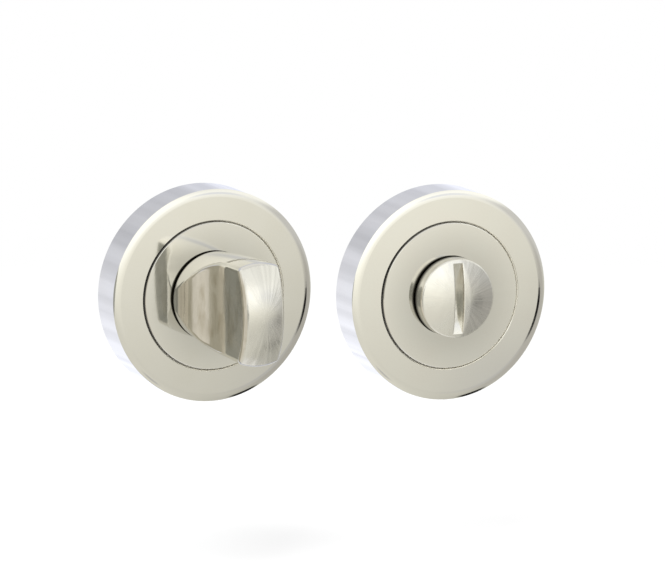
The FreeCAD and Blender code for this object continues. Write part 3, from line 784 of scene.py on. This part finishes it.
for name, shape in DOMES.items():
    half = shape["half"]
    material, tree = blank_material(f"polished_nickel_with_turned_dome_{half}")
    point, depth, across, radius = around_axis(tree, half)
    plate, haze = nickel_plate(tree, half, point, DOME_BLOTCH)
    dome, marked_and_shaded = dome_areas(tree, shape, point, across)
    spokes, open_out, fan = dome_spokes(tree, marked_and_shaded, across, radius)
    scoop = add(tree, "ShaderNodeMapRange", {
        "Value": radius, "From Min": SCOOP[0], "From Max": SCOOP[1], "To Min": 1.0,
        "To Max": 0.0}).outputs[0]
    plate = smudged_plate(tree, plate, point, scoop, dome)
    # Painted highlight and shade: the spokes are painted lighter and darker in streaks, round the
    # painted level of the marked side
    spoke_streaks = add(tree, "ShaderNodeMapRange", {
        "Value": fan, "From Min": NOISE[0], "From Max": NOISE[1],
        "To Min": shape["marked_shade"] * PAINTED_SPOKE_STREAKS[0], "To Max": shape["marked_shade"] * PAINTED_SPOKE_STREAKS[1]})
    # Painted shade and highlight: the marked side of the dome is painted darker, with lighter and
    # darker spokes
    plate = add(tree, "ShaderNodeMix", {
        "Factor": marked_and_shaded, "A": plate, "B": spoke_streaks.outputs[0]},
        data_type="RGBA", blend_type="MULTIPLY")
    satin = add(tree, "ShaderNodeMapRange", {
        "Value": spokes, "From Min": NOISE[0], "From Max": NOISE[1], "To Min": SATIN[0],
        "To Max": SATIN[1]})
    gloss = add(tree, "ShaderNodeMapRange", {
        "Value": haze, "From Min": NOISE[0], "From Max": NOISE[1], "To Min": SIDE_GLOSS[0],
        "To Max": SIDE_GLOSS[1]})
    gloss = add(tree, "ShaderNodeMath", {
        0: scoop, 1: SCOOP_HAZE, 2: gloss.outputs[0]}, operation="MULTIPLY_ADD")
    rough = add(tree, "ShaderNodeMix", {
        "Factor": dome, "A": gloss.outputs[0], "B": satin.outputs[0]})
    # The foot that faces the disc is painted dark, as painted shade in the gap under the knob
    foot = add(tree, "ShaderNodeMapRange", {
        "Value": depth, "From Min": shape["foot_unshaded"], "From Max": shape["foot_shaded"]},
        interpolation_type="SMOOTHSTEP")
    tint = add(tree, "ShaderNodeMix", {
        "Factor": foot.outputs[0], "A": plate.outputs["Result"], "B": PAINTED_SHADE}, data_type="RGBA")
    rough = add(tree, "ShaderNodeMix", {
        "Factor": foot.outputs[0], "A": rough.outputs["Result"], "B": FOOT_ROUGHNESS})
    normal = dome_relief(tree, fan, open_out, radius, shape["spoke_depth"])
    shader = add(tree, "ShaderNodeBsdfPrincipled", {
        "Base Color": tint.outputs["Result"], "Metallic": 1.0,
        "Roughness": rough.outputs["Result"], "Normal": waved(tree, point, scoop, normal)})
    add(tree, "ShaderNodeOutputMaterial", {"Surface": shader.outputs[0]})
    dress(name, material)
    print(material.name, "has", len(tree.nodes), "nodes")

# %% [markdown]
# ## Steel inside the roses
# The spindle, its pin and the washers only show from the back. Each kind of steel has its own look:
# zinc plate with a cool tinge on the spindle and washers, drawn in long lines on the spindle, a
# ground pin, blued spring steel, and the near black phosphate of a circlip. One loop makes them,
# since they differ only in their numbers.

# %% Steels
# A colour, a second colour, the roughness, the size of the pattern along X, Y and Z in
# millimetres, and the depth of its relief in millimetres
STEELS = {
    "zinc_plated_drawn_steel": ("B9BCC0", "A3A7AC", 0.28, (0.4, 12, 0.4), 0.012),
    "zinc_plated_pressed_steel": ("B4B7BA", "9CA0A6", 0.34, (1.2, 1.2, 1.2), 0.008),
    "ground_steel": ("C2C2BF", "ABABA8", 0.2, (3, 0.3, 0.3), 0.004),
    "blued_spring_steel": ("5B5E66", "484A52", 0.3, (1.5, 1.5, 1.5), 0.006),
    "phosphated_steel": ("2B2B2A", "1F1F1E", 0.55, (0.5, 0.5, 0.5), 0.015),
}
STEEL_SPREAD = 0.08

steels = {}
for name, (tone, second, roughness, size, relief) in STEELS.items():
    material, tree = blank_material(name)
    place = add(tree, "ShaderNodeTexCoord")
    grain_at = add(tree, "ShaderNodeMapping", {
        "Vector": place.outputs["Object"], "Scale": [1 / (side * MM) for side in size]})
    grain = add(tree, "ShaderNodeTexNoise", {
        "Vector": grain_at.outputs[0], "Scale": 1.0, "Detail": 4.0})
    tint = add(tree, "ShaderNodeMix", {
        "Factor": grain.outputs[0], "A": colour(tone), "B": colour(second)}, data_type="RGBA")
    rough = add(tree, "ShaderNodeMapRange", {
        "Value": grain.outputs[0], "To Min": roughness - STEEL_SPREAD,
        "To Max": roughness + STEEL_SPREAD})
    bump = add(tree, "ShaderNodeBump", {
        "Height": grain.outputs[0], "Strength": 0.7, "Distance": relief * MM})
    shader = add(tree, "ShaderNodeBsdfPrincipled", {
        "Base Color": tint.outputs["Result"], "Metallic": 1.0, "Roughness": rough.outputs[0],
        "Normal": bump.outputs[0]})
    add(tree, "ShaderNodeOutputMaterial", {"Surface": shader.outputs[0]})
    steels[name] = material
print("steels:", list(steels))

# %% Which piece is made of which steel
MADE_OF = {
    "spindle": "zinc_plated_drawn_steel",
    "spindle_pin": "ground_steel",
    "turn_thrust_washer": "zinc_plated_pressed_steel",
    "release_thrust_washer": "zinc_plated_pressed_steel",
    "turn_spring_washer": "blued_spring_steel",
    "release_spring_washer": "blued_spring_steel",
    "turn_circlip": "phosphated_steel",
    "release_circlip": "phosphated_steel",
}
for name, steel in MADE_OF.items():
    dress(name, steels[steel])
print("steel pieces:", len(MADE_OF))

# %% [markdown]
# ## Black nylon bushes
# The knob turns in a moulded nylon bush, whose thin flange keeps it off the disc. Black nylon has a
# fine spark texture from its mould and a soft gloss. The bushes are almost hidden, but they are
# finished too.

# %% Bushes
NYLON = colour("0F0F0E")
NYLON_PALE = colour("1C1C1A")
NYLON_ROUGHNESS = (0.45, 0.62)
NYLON_IOR = 1.53
SPARK, SPARK_DEPTH = 0.3 * MM, 0.02 * MM

material, tree = blank_material("moulded_black_nylon")
place = add(tree, "ShaderNodeTexCoord")
spark = add(tree, "ShaderNodeTexNoise", {
    "Vector": place.outputs["Object"], "Scale": 1 / SPARK, "Detail": 2.0})
tint = add(tree, "ShaderNodeMix", {
    "Factor": spark.outputs[0], "A": NYLON, "B": NYLON_PALE}, data_type="RGBA")
rough = add(tree, "ShaderNodeMapRange", {
    "Value": spark.outputs[0], "To Min": NYLON_ROUGHNESS[0], "To Max": NYLON_ROUGHNESS[1]})
bump = add(tree, "ShaderNodeBump", {
    "Height": spark.outputs[0], "Strength": 0.5, "Distance": SPARK_DEPTH})
shader = add(tree, "ShaderNodeBsdfPrincipled", {
    "Base Color": tint.outputs["Result"], "Roughness": rough.outputs[0], "IOR": NYLON_IOR,
    "Normal": bump.outputs[0]})
add(tree, "ShaderNodeOutputMaterial", {"Surface": shader.outputs[0]})
for half in HALVES:
    dress(f"{half}_bush", material)
print("bushes:", [f"{half}_bush" for half in HALVES])

# %% [markdown]
# ## Sizes and finish
# The dressed part's size is printed here, to set beside the CAD model's size printed at the start.

visual_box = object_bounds()
visual_size = visual_box[1] - visual_box[0]
print("visual size in mm:", [round(side / MM, 1) for side in visual_size])
